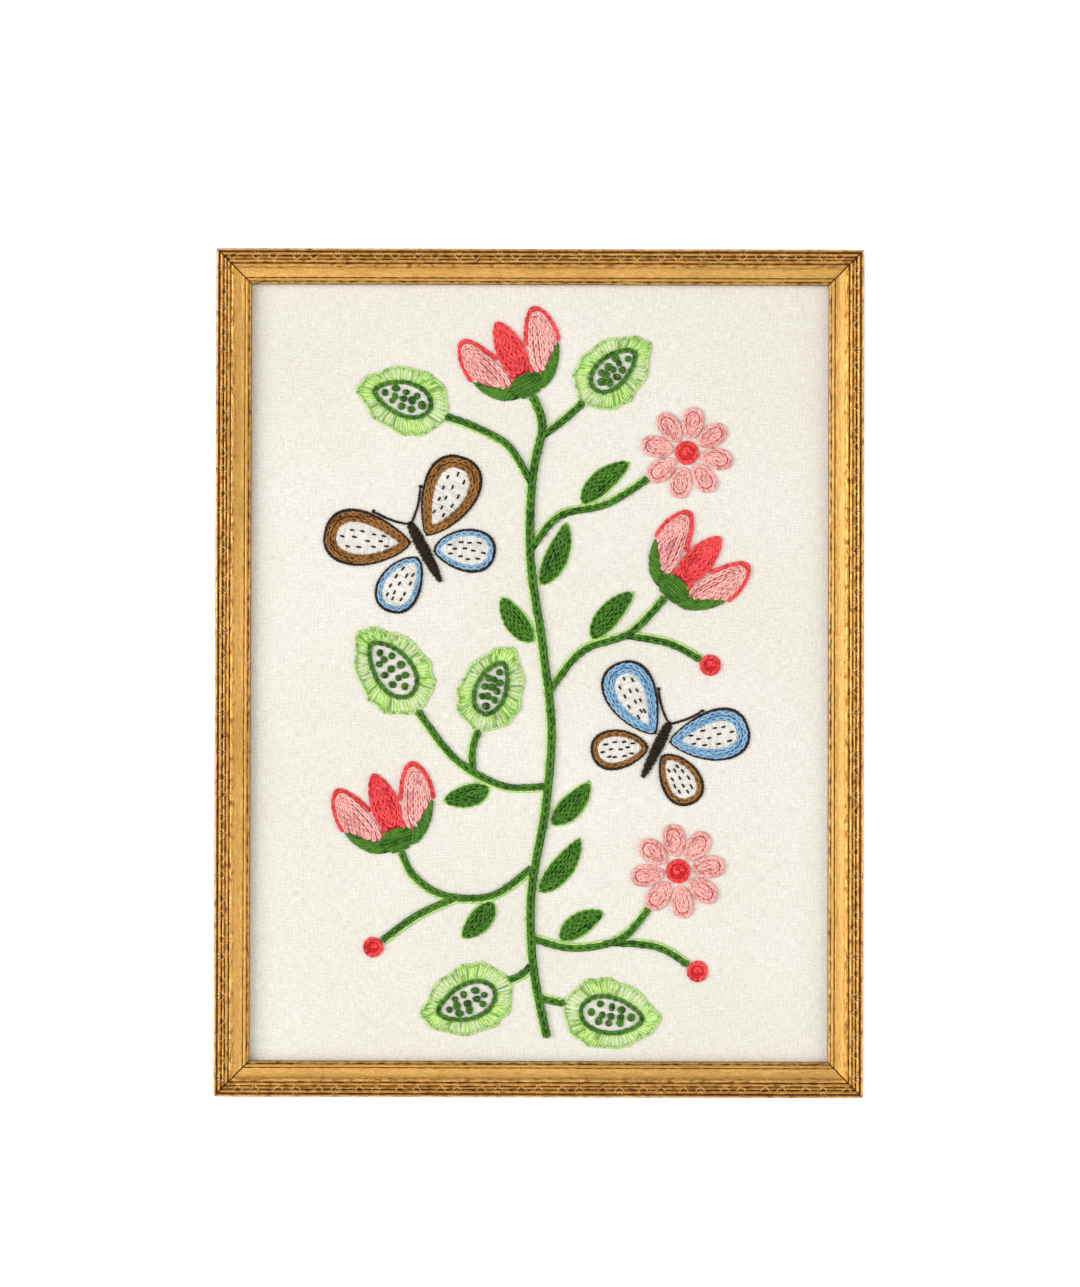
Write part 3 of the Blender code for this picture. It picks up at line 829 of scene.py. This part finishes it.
def dress_butterflies():
    made = []
    colours = (("brown", "blue"), ("blue", "brown"))
    for number, (insect, (front, rear)) in enumerate(zip(BUTTERFLIES, colours), 1):
        name = f"butterfly_{number}"
        fore = [f"{name}_forewing_left", f"{name}_forewing_right"]
        hind = [f"{name}_hindwing_left", f"{name}_hindwing_right"]
        wools = {
            front: Stitches(f"{name}_{front}_wool", front, fore),
            rear: Stitches(f"{name}_{rear}_wool", rear, hind),
            "white": Stitches(f"{name}_white_wool", "white"),
            "black": Stitches(f"{name}_black_wool", "black", [f"{name}_body"]),
        }
        for side in (1, -1):
            for lobe, wool in (
                (placed(FOREWING, insect, side), wools[front]),
                (placed(HINDWING, insect, side), wools[rear]),
            ):
                stem_row(wools["black"], outline_of(lobe, 0.0007), 0.0036, 0.00050, closed=True)
                rings = 2 if lobe.width > 0.023 else 1
                fill(wool, lobe, start=0.0011, rings=rings)
                patch = resized(lobe, -0.0011 - 0.0026 * rings)
                satin(wools["white"], patch, 0.00080, slant=0, thick=0.00056, crown=0.0002)
                wools["white"].lay_shade_bed(outline_of(patch, 0.0002, 0.0016))
                for row in (-0.55, 0.0, 0.55):
                    for share in (0.30, 0.50, 0.70, 0.88):
                        seed(wools["black"], patch, share - 0.14 * abs(row), row)
        body = placed(BODY, insect)
        satin(wools["black"], body, slant=0, crown=0.0008)
        wools["black"].lay_shade_bed(outline_of(body, 0.0006, 0.0016))
        for side in (1, -1):
            feeler = placed(FEELER, insect, side)
            route = [lobe_point(feeler, k / 12) for k in range(13)]
            stem_row(wools["black"], route, 0.0034, 0.00044)
            knot(wools["black"], *route[-1], radius=0.0007, thick=0.00050)
        made += wools.values()
    return made


ProfilePoint = namedtuple("ProfilePoint", "inset height hollow wood")


def moulding_profile(steps=6):
    """The moulding's closed section: where it is hollow, and where the wood isn't gilded."""
    rebate = (FRAME_WIDTH - PICTURE_WIDTH) / 2
    sight = rebate + LIP_OVERLAP
    points = []
    for reed, after in zip(REEDS, REEDS[1:]):
        for step in range(steps if reed.rise else 1):
            share = step / steps
            swell = sin(pi * share)
            inset = reed.inset + share * (after.inset - reed.inset)
            level = reed.height + share * (after.height - reed.height)
            hollow = 1 - swell if reed.rise > 0 else 0.25 * (1 - swell)
            points.append(ProfilePoint(inset, level + reed.rise * swell, hollow, 0.0))
    return [
        *points,
        ProfilePoint(REEDS[-1].inset, REEDS[-1].height, 0.8, 0.0),
        ProfilePoint(sight - SIGHT_EDGE_BEVEL, SIGHT_EDGE_TOP, 0.42, 0.0),
        ProfilePoint(sight, SIGHT_EDGE_TOP - SIGHT_EDGE_BEVEL, 0.6, 0.0),
        ProfilePoint(sight, LIP_UNDERSIDE, 0.8, 0.0),
        ProfilePoint(rebate, LIP_UNDERSIDE, 1.0, 1.0),
        ProfilePoint(rebate, 0.0, 1.0, 1.0),
        ProfilePoint(0.0, 0.0, 1.0, 1.0),
        ProfilePoint(0.0, REEDS[0].height - 0.0012, 1.0, 1.0),
    ]


def make_rail(name, length, x, y, turn, gilt):
    """One mitred rail, with the small unevenness of hand-laid gilding."""
    profile = moulding_profile()
    ring = len(profile)
    stations = round(length / 0.0012)
    bm = bmesh.new()
    bmesh.ops.create_grid(bm, x_segments=stations, y_segments=ring, size=0.5)
    uv = bm.loops.layers.uv.new("UVMap")
    keys = ("hollow", "wood", "inset", "mitre")
    hollows, woods, insets, mitres = (bm.verts.layers.float.new(key) for key in keys)
    girths = [0.0]
    for point, after in zip(profile, profile[1:] + profile[:1]):
        girths.append(girths[-1] + hypot(after.inset - point.inset, after.height - point.height))
    where = {}
    for vert in bm.verts:
        station = vert.co.x + 0.5
        row = round((vert.co.y + 0.5) * ring)
        inset, height, hollow, wood = profile[row % ring]
        along = (2 * station - 1) * (length / 2 - inset - MITRE_GAP)
        spot = Vector((along * 90, inset * 600, turn))
        if height > SIGHT_EDGE_TOP - 0.001 and 0.0002 < inset < 0.0172:
            worn = noise.noise(spot) * 0.00022
            wavy = noise.noise(spot * 3.1) * 0.00030 if 0.0070 < inset < 0.0100 else 0.0
            height += min(worn + wavy, 0.00012)
        where[vert] = (along, girths[row])
        vert[hollows] = hollow
        vert[woods] = wood
        vert[insets] = inset
        vert[mitres] = length / 2 - inset - MITRE_GAP - abs(along)
        vert.co = (along, -inset, height)
    for face in bm.faces:
        for loop in face.loops:
            loop[uv].uv = where[loop.vert]
    bmesh.ops.remove_doubles(bm, verts=bm.verts, dist=0.000002)
    ends = bmesh.ops.holes_fill(bm, edges=[edge for edge in bm.edges if edge.is_boundary])["faces"]
    bm.normal_update()
    bmesh.ops.triangulate(bm, faces=ends, ngon_method="EAR_CLIP")
    bmesh.ops.recalc_face_normals(bm, faces=bm.faces)
    bm.transform(Matrix.Translation((x, y, 0)) @ Matrix.Rotation(radians(turn), 4, "Z"))
    mesh = bpy.data.meshes.new(name + "_moulding")
    bm.to_mesh(mesh)
    bm.free()
    mesh.shade_smooth()
    mesh.set_sharp_from_angle(angle=radians(50))
    rail = bpy.data.objects.new(name + "_moulding", mesh)
    bpy.context.scene.collection.objects.link(rail)
    mesh.materials.append(gilt)
    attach(rail, "root")
    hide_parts(name)
    return rail


def press_marks(tree, along, inset):
    """The ribbon presses on the second and third reeds: dark cuts, and raised strokes beside them, which the
    gilt paints pale as a highlight.
    """
    cuts, strokes = [], []
    for offset, top, base, spread in (
        (0.0, 0.0056, 0.0037, 0.0017), (0.0084, 0.0056, 0.0037, 0.0017), (0.0, 0.0036, 0.0020, 0.0004),
    ):
        shifted = math_node(tree, "ADD", along, 2.1105 - offset)
        looped = math_node(tree, "MODULO", shifted, 0.0206)
        away = math_node(tree, "ABSOLUTE", math_node(tree, "SUBTRACT", looped, 0.0105))
        gap = math_node(tree, "SUBTRACT", away, between(tree, inset, base, top, spread, 0.0))
        beyond = math_node(tree, "ABSOLUTE", math_node(tree, "SUBTRACT", gap, 0.0005))
        started = between(tree, inset, base - 0.0004, base)
        held = math_node(tree, "MULTIPLY", started, between(tree, inset, top, top + 0.0004, 1.0, 0.0))
        cut = between(tree, gap, -0.0004, 0.0001, 1.0, 0.0)
        stroke = between(tree, beyond, 0.0002, 0.0006, 1.0, 0.0)
        cuts.append(math_node(tree, "MULTIPLY", cut, held))
        strokes.append(math_node(tree, "MULTIPLY", stroke, held))
    return tuple(
        math_node(tree, "MAXIMUM", marks[0], math_node(tree, "MAXIMUM", marks[1], marks[2]))
        for marks in (cuts, strokes)
    )


def gilt_material():
    """Gold leaf over red-brown ground, dark in its grooves, with stained wood at its outer side, a painted
    reflection on its outer rim, painted highlights on the press strokes and painted shade on the first reed's
    inner slope.
    """
    material, tree, shader = new_material("worn_gilt")
    laid = node(tree, "UVMap", uv_map="UVMap").outputs[0]
    along = node(tree, "SeparateXYZ", {0: laid}).outputs[0]
    place = node(tree, "TexCoord").outputs["Object"]
    keys = ("hollow", "wood", "inset", "mitre")
    hollow, wood, inset, mitre = (
        node(tree, "Attribute", attribute_name=key).outputs["Fac"] for key in keys
    )
    sway = grain(tree, laid, 1.0, 1.0, (70.0, 400.0, 1.0))
    cut, stroke = press_marks(tree, math_node(tree, "MULTIPLY_ADD", sway, 0.0026, along), inset)

    streaks = grain(tree, laid, 1.0, 4.0, (150.0, 2300.0, 1.0))
    patches = grain(tree, laid, 1.0, 3.0, (260.0, 520.0, 1.0))
    smudges = grain(tree, place, 28.0, 2.0)
    specks = grain(tree, place, 1300.0, 3.0)
    outer = between(tree, inset, 0.0090, 0.0102, 1.0, 0.0)
    shine = math_node(tree, "MULTIPLY_ADD", specks, 0.45, math_node(tree, "MULTIPLY", streaks, 0.55))
    shine = between(tree, shine, 0.38, 0.62)
    # Painted reflection: the outermost edge of each rail is painted pale, as if it mirrored the white room
    # round it.
    rim_reflection = between(tree, inset, 0.0004, 0.0009, 0.4, 0.0)
    # Painted shade: a patchy red-brown band on the first reed's inward-facing slope, between about 1 and 2 mm
    # in.
    inner_slope_shade = between(tree, inset, 0.0008, 0.0012)
    inner_slope_shade = math_node(tree, "MULTIPLY", inner_slope_shade, between(tree, inset, 0.0019, 0.0023, 1.0, 0.0))
    inner_slope_shade = math_node(tree, "MULTIPLY", inner_slope_shade, between(tree, patches, 0.30, 0.60, 0.35, 0.85))

    leaf = blend_colours(tree, shine, (0.58, 0.315, 0.066, 1), (0.84, 0.520, 0.170, 1))
    reed = blend_colours(tree, shine, (0.46, 0.220, 0.032, 1), (0.96, 0.590, 0.185, 1))
    gold = blend_colours(tree, outer, leaf, reed)
    gold = blend_colours(tree, rim_reflection, gold, (0.95, 0.720, 0.430, 1))
    smudged = math_node(tree, "MULTIPLY", between(tree, smudges, 0.45, 0.70), 0.35)
    gold = blend_colours(tree, smudged, gold, (0.45, 0.230, 0.048, 1))
    dirt = math_node(tree, "MULTIPLY_ADD", between(tree, patches, 0.30, 0.75), 0.50, hollow)
    dirt = between(tree, dirt, 0.68, 1.05, 0.0, 0.96)
    dirt = math_node(tree, "MAXIMUM", dirt, between(tree, mitre, 0.0001, 0.0005, 0.9, 0.0))
    gold = blend_colours(tree, dirt, gold, (0.110, 0.030, 0.0008, 1))
    bare = between(tree, math_node(tree, "MULTIPLY_ADD", specks, 0.30, patches), 0.68, 0.80)
    bare = math_node(tree, "MULTIPLY", bare, math_node(tree, "MULTIPLY_ADD", outer, 0.55, 0.12))
    gold = blend_colours(tree, bare, gold, (0.190, 0.050, 0.010, 1))
    gold = blend_colours(tree, inner_slope_shade, gold, (0.260, 0.090, 0.022, 1))
    filled = math_node(tree, "MULTIPLY", cut, between(tree, patches, 0.35, 0.60, 0.15, 0.70))
    gold = blend_colours(tree, filled, gold, (0.190, 0.055, 0.010, 1))
    # Painted highlight: the raised strokes beside the cuts are painted pale gold.
    lit = math_node(tree, "MULTIPLY", stroke, between(tree, specks, 0.40, 0.60, 0.45, 0.90))
    gold = blend_colours(tree, lit, gold, (1.00, 0.740, 0.340, 1))
    veins = between(tree, grain(tree, laid, 1.0, 4.0, (24.0, 900.0, 1.0)), 0.3, 0.7)
    stain = blend_colours(tree, veins, (0.075, 0.026, 0.007, 1), (0.170, 0.070, 0.022, 1))
    gold = blend_colours(tree, wood, gold, stain)
    tree.links.new(gold, shader.inputs["Base Color"])
    spoilt = math_node(tree, "MAXIMUM", math_node(tree, "MAXIMUM", dirt, bare), wood)
    clean = between(tree, outer, 0.0, 1.0, 0.55, 0.43)
    tree.links.new(between(tree, spoilt, 0.0, 1.0, clean, 0.72), shader.inputs["Roughness"])
    shader.inputs["Metallic"].default_value = 0.80
    shader.inputs["Specular IOR Level"].default_value = 0.20
    height = math_node(tree, "MULTIPLY_ADD", streaks, 0.7, math_node(tree, "MULTIPLY", specks, 0.25))
    height = math_node(tree, "MULTIPLY_ADD", patches, 0.9, height)
    height = math_node(tree, "MULTIPLY_ADD", stroke, 0.6, height)
    height = math_node(tree, "MULTIPLY_ADD", cut, -0.9, height)
    bump = node(tree, "Bump", {"Strength": 0.9, "Distance": 0.00030, "Height": height})
    tree.links.new(bump.outputs[0], shader.inputs["Normal"])
    return material


def make_frame():
    gilt = gilt_material()
    side, end = FRAME_WIDTH / 2, FRAME_HEIGHT / 2
    make_rail("rail_top", FRAME_WIDTH, 0, end, 0, gilt)
    make_rail("rail_bottom", FRAME_WIDTH, 0, -end, 180, gilt)
    make_rail("rail_left", FRAME_HEIGHT, -side, 0, 90, gilt)
    make_rail("rail_right", FRAME_HEIGHT, side, 0, -90, gilt)


def linen_material():
    """Plain-weave linen with uneven threads, from the cloth's own coordinates."""
    material, tree, shader = new_material("plain_linen")
    place = node(tree, "TexCoord").outputs["Object"]
    drift = node(tree, "TexNoise", {0: place, 2: 60.0, 3: 2.0}).outputs[1]
    drifted = node(tree, "VectorMath", {0: drift, 1: (0.0016, 0.0016, 0.0)}, operation="MULTIPLY").outputs[0]
    moved = node(tree, "VectorMath", {0: place, 1: drifted}, operation="ADD").outputs[0]
    axes = node(tree, "SeparateXYZ", {0: moved}).outputs
    waves = [math_node(tree, "SINE", math_node(tree, "MULTIPLY", axes[k], pi / 0.00066)) for k in (0, 1)]
    warp, weft = (math_node(tree, "ABSOLUTE", wave) for wave in waves)
    over = math_node(tree, "GREATER_THAN", math_node(tree, "MULTIPLY", *waves), 0.0)
    crest = node(tree, "Mix", {0: over, 2: weft, 3: warp}).outputs[0]
    warp_slub = grain(tree, moved, 1.0, 1.0, (1515.0, 210.0, 1.0))
    weft_slub = grain(tree, moved, 1.0, 1.0, (240.0, 1515.0, 1.0))
    slub = node(tree, "Mix", {0: over, 2: weft_slub, 3: warp_slub}).outputs[0]
    fibres = grain(tree, place, 1500.0, 2.0)
    clear = [math_node(tree, "SUBTRACT", 1.0, threads) for threads in (warp, weft)]
    gap = math_node(tree, "MULTIPLY", *clear)
    light = math_node(tree, "MULTIPLY_ADD", slub, 0.62, math_node(tree, "MULTIPLY", fibres, 0.38))
    light = between(tree, light, 0.34, 0.66)
    thread = blend_colours(tree, light, (0.720, 0.680, 0.595, 1), (0.970, 0.952, 0.895, 1))
    cloud = between(tree, grain(tree, place, 9.0, 2.0), 0.3, 0.7)
    mellow = blend_colours(tree, cloud, (0.955, 0.945, 0.925, 1), (1.0, 1.0, 1.0, 1))
    thread = blend_colours(tree, 1.0, thread, mellow, "MULTIPLY")
    colour = blend_colours(tree, math_node(tree, "MULTIPLY", gap, 0.70), thread, (0.42, 0.37, 0.28, 1))
    tree.links.new(colour, shader.inputs["Base Color"])
    height = math_node(tree, "MULTIPLY_ADD", slub, 0.8, crest)
    bump = node(tree, "Bump", {"Strength": 0.55, "Distance": 0.00018, "Height": height})
    tree.links.new(bump.outputs[0], shader.inputs["Normal"])
    shader.inputs["Roughness"].default_value = 0.9
    shader.inputs["Specular IOR Level"].default_value = 0.2
    shader.inputs["Sheen Weight"].default_value = 0.1
    return material


def make_linen():
    """The ground cloth: stretched flat, a little puckered, with its cut edges at the board's."""
    width, height = PICTURE_WIDTH - 2 * FIT_CLEARANCE, PICTURE_HEIGHT - 2 * FIT_CLEARANCE
    bm = bmesh.new()
    bmesh.ops.create_grid(bm, x_segments=96, y_segments=128, size=0.5)
    bmesh.ops.scale(bm, vec=(width, height, 1), verts=bm.verts)
    bmesh.ops.translate(bm, vec=(0, 0, LINEN_BACK), verts=bm.verts)
    grown = bmesh.ops.extrude_face_region(bm, geom=list(bm.faces))["geom"]
    top = [part for part in grown if isinstance(part, bmesh.types.BMVert)]
    for vert in top:
        edge = min(width / 2 - abs(vert.co.x), height / 2 - abs(vert.co.y))
        calm = min(1.0, max(0.0, (edge - 0.006) / 0.02))
        spot = Vector((vert.co.x * 28, vert.co.y * 28, 0))
        vert.co.z = LINEN_FACE + calm * 0.00022 * noise.noise(spot) - 0.00002
    bmesh.ops.recalc_face_normals(bm, faces=bm.faces)
    mesh = bpy.data.meshes.new("linen_cloth")
    bm.to_mesh(mesh)
    bm.free()
    mesh.shade_smooth()
    mesh.set_sharp_from_angle(angle=radians(50))
    cloth = bpy.data.objects.new("linen_cloth", mesh)
    bpy.context.scene.collection.objects.link(cloth)
    mesh.materials.append(linen_material())
    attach(cloth, "root")
    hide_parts("linen_ground")
    return cloth


def card_material():
    """Brown corrugated card: faint flutes, pressed fibres and specks."""
    material, tree, shader = new_material("brown_card")
    place = node(tree, "TexCoord").outputs["Object"]
    across = node(tree, "SeparateXYZ", {0: place}).outputs[0]
    flute = math_node(tree, "SINE", math_node(tree, "MULTIPLY", across, 2 * pi / 0.0072))
    fibres = grain(tree, place, 1.0, 4.0, (900.0, 160.0, 400.0))
    specks = grain(tree, place, 1400.0, 2.0)
    tint = math_node(tree, "MULTIPLY_ADD", fibres, 0.7, math_node(tree, "MULTIPLY", flute, 0.06))
    card = blend_colours(tree, between(tree, tint, 0.15, 0.55), (0.36, 0.25, 0.145, 1), (0.50, 0.37, 0.24, 1))
    speckled = blend_colours(tree, between(tree, specks, 0.66, 0.74), card, (0.22, 0.14, 0.08, 1))
    tree.links.new(speckled, shader.inputs["Base Color"])
    height = math_node(tree, "MULTIPLY_ADD", flute, 0.6, fibres)
    bump = node(tree, "Bump", {"Strength": 0.4, "Distance": 0.0002, "Height": height})
    tree.links.new(bump.outputs[0], shader.inputs["Normal"])
    shader.inputs["Roughness"].default_value = 0.85
    return material


def make_stage():
    """A plain white floor, an even sky and soft lamps, the main one on the left."""
    bm = bmesh.new()
    bmesh.ops.create_grid(bm, x_segments=1, y_segments=1, size=20.0)
    mesh = bpy.data.meshes.new("floor")
    bm.to_mesh(mesh)
    bm.free()
    floor = bpy.data.objects.new("floor", mesh)
    floor.location.z = -0.0004
    bpy.context.scene.collection.objects.link(floor)
    material, tree, shader = new_material("floor_white")
    shader.inputs["Base Color"].default_value = (0.93, 0.93, 0.93, 1)
    shader.inputs["Roughness"].default_value = 0.9
    shader.inputs["Emission Color"].default_value = (1, 1, 1, 1)
    shader.inputs["Emission Strength"].default_value = 0.45
    mesh.materials.append(material)

    world = bpy.data.worlds.new("sky")
    world.use_nodes = True
    sky = world.node_tree.nodes["Background"]
    sky.inputs[0].default_value = (1.0, 1.0, 1.0, 1)
    sky.inputs[1].default_value = 0.39
    bpy.context.scene.world = world
    for name, place, size, power in (
        ("lamp_left", (-2.60, 0.15, 1.90), 1.8, 68.0),
        ("lamp_right", (1.30, 0.00, 0.85), 1.0, 8.2),
        ("lamp_low", (0.10, -1.30, 1.45), 1.2, 8.5),
        ("lamp_high", (-0.55, 0.35, 1.25), 0.9, 4.2),
    ):
        lamp = bpy.data.lights.new(name, "AREA")
        lamp.shape = "SQUARE"
        lamp.size = size
        lamp.energy = power
        stand = bpy.data.objects.new(name, lamp)
        stand.location = place
        stand.rotation_euler = (-Vector(place)).to_track_quat("-Z", "Y").to_euler()
        bpy.context.scene.collection.objects.link(stand)


def make_camera():
    """Looks straight down, a hair off square, as the photograph was taken."""
    lens = bpy.data.cameras.new("camera")
    lens.lens = 80.0
    lens.sensor_width = 36.0
    camera = bpy.data.objects.new("camera", lens)
    tilt, roll = radians(0.55), radians(0.15)
    away = 1.4555
    aim = Vector((0.0003, 0.0148, 0.014))
    back = Vector((0, -sin(tilt), cos(tilt)))
    camera.location = aim + away * back
    turned = (-back).to_track_quat("-Z", "Y").to_matrix().to_4x4() @ Matrix.Rotation(roll, 4, "Z")
    camera.rotation_euler = turned.to_euler()
    bpy.context.scene.collection.objects.link(camera)
    bpy.context.scene.camera = camera


def main():
    bpy.context.scene.view_settings.view_transform = "Standard"
    make_camera()
    make_stage()
    make_frame()
    make_linen()
    board = bpy.data.objects["mount_board"]
    board.data.materials.clear()
    board.data.materials.append(card_material())
    groups = (
        dress_stems(), dress_pods(), dress_leaves(), dress_tulips(), dress_daisies(), dress_berries(),
        dress_butterflies(),
    )
    for group in groups:
        for stitches in group:
            finish_stitches(stitches)


main()
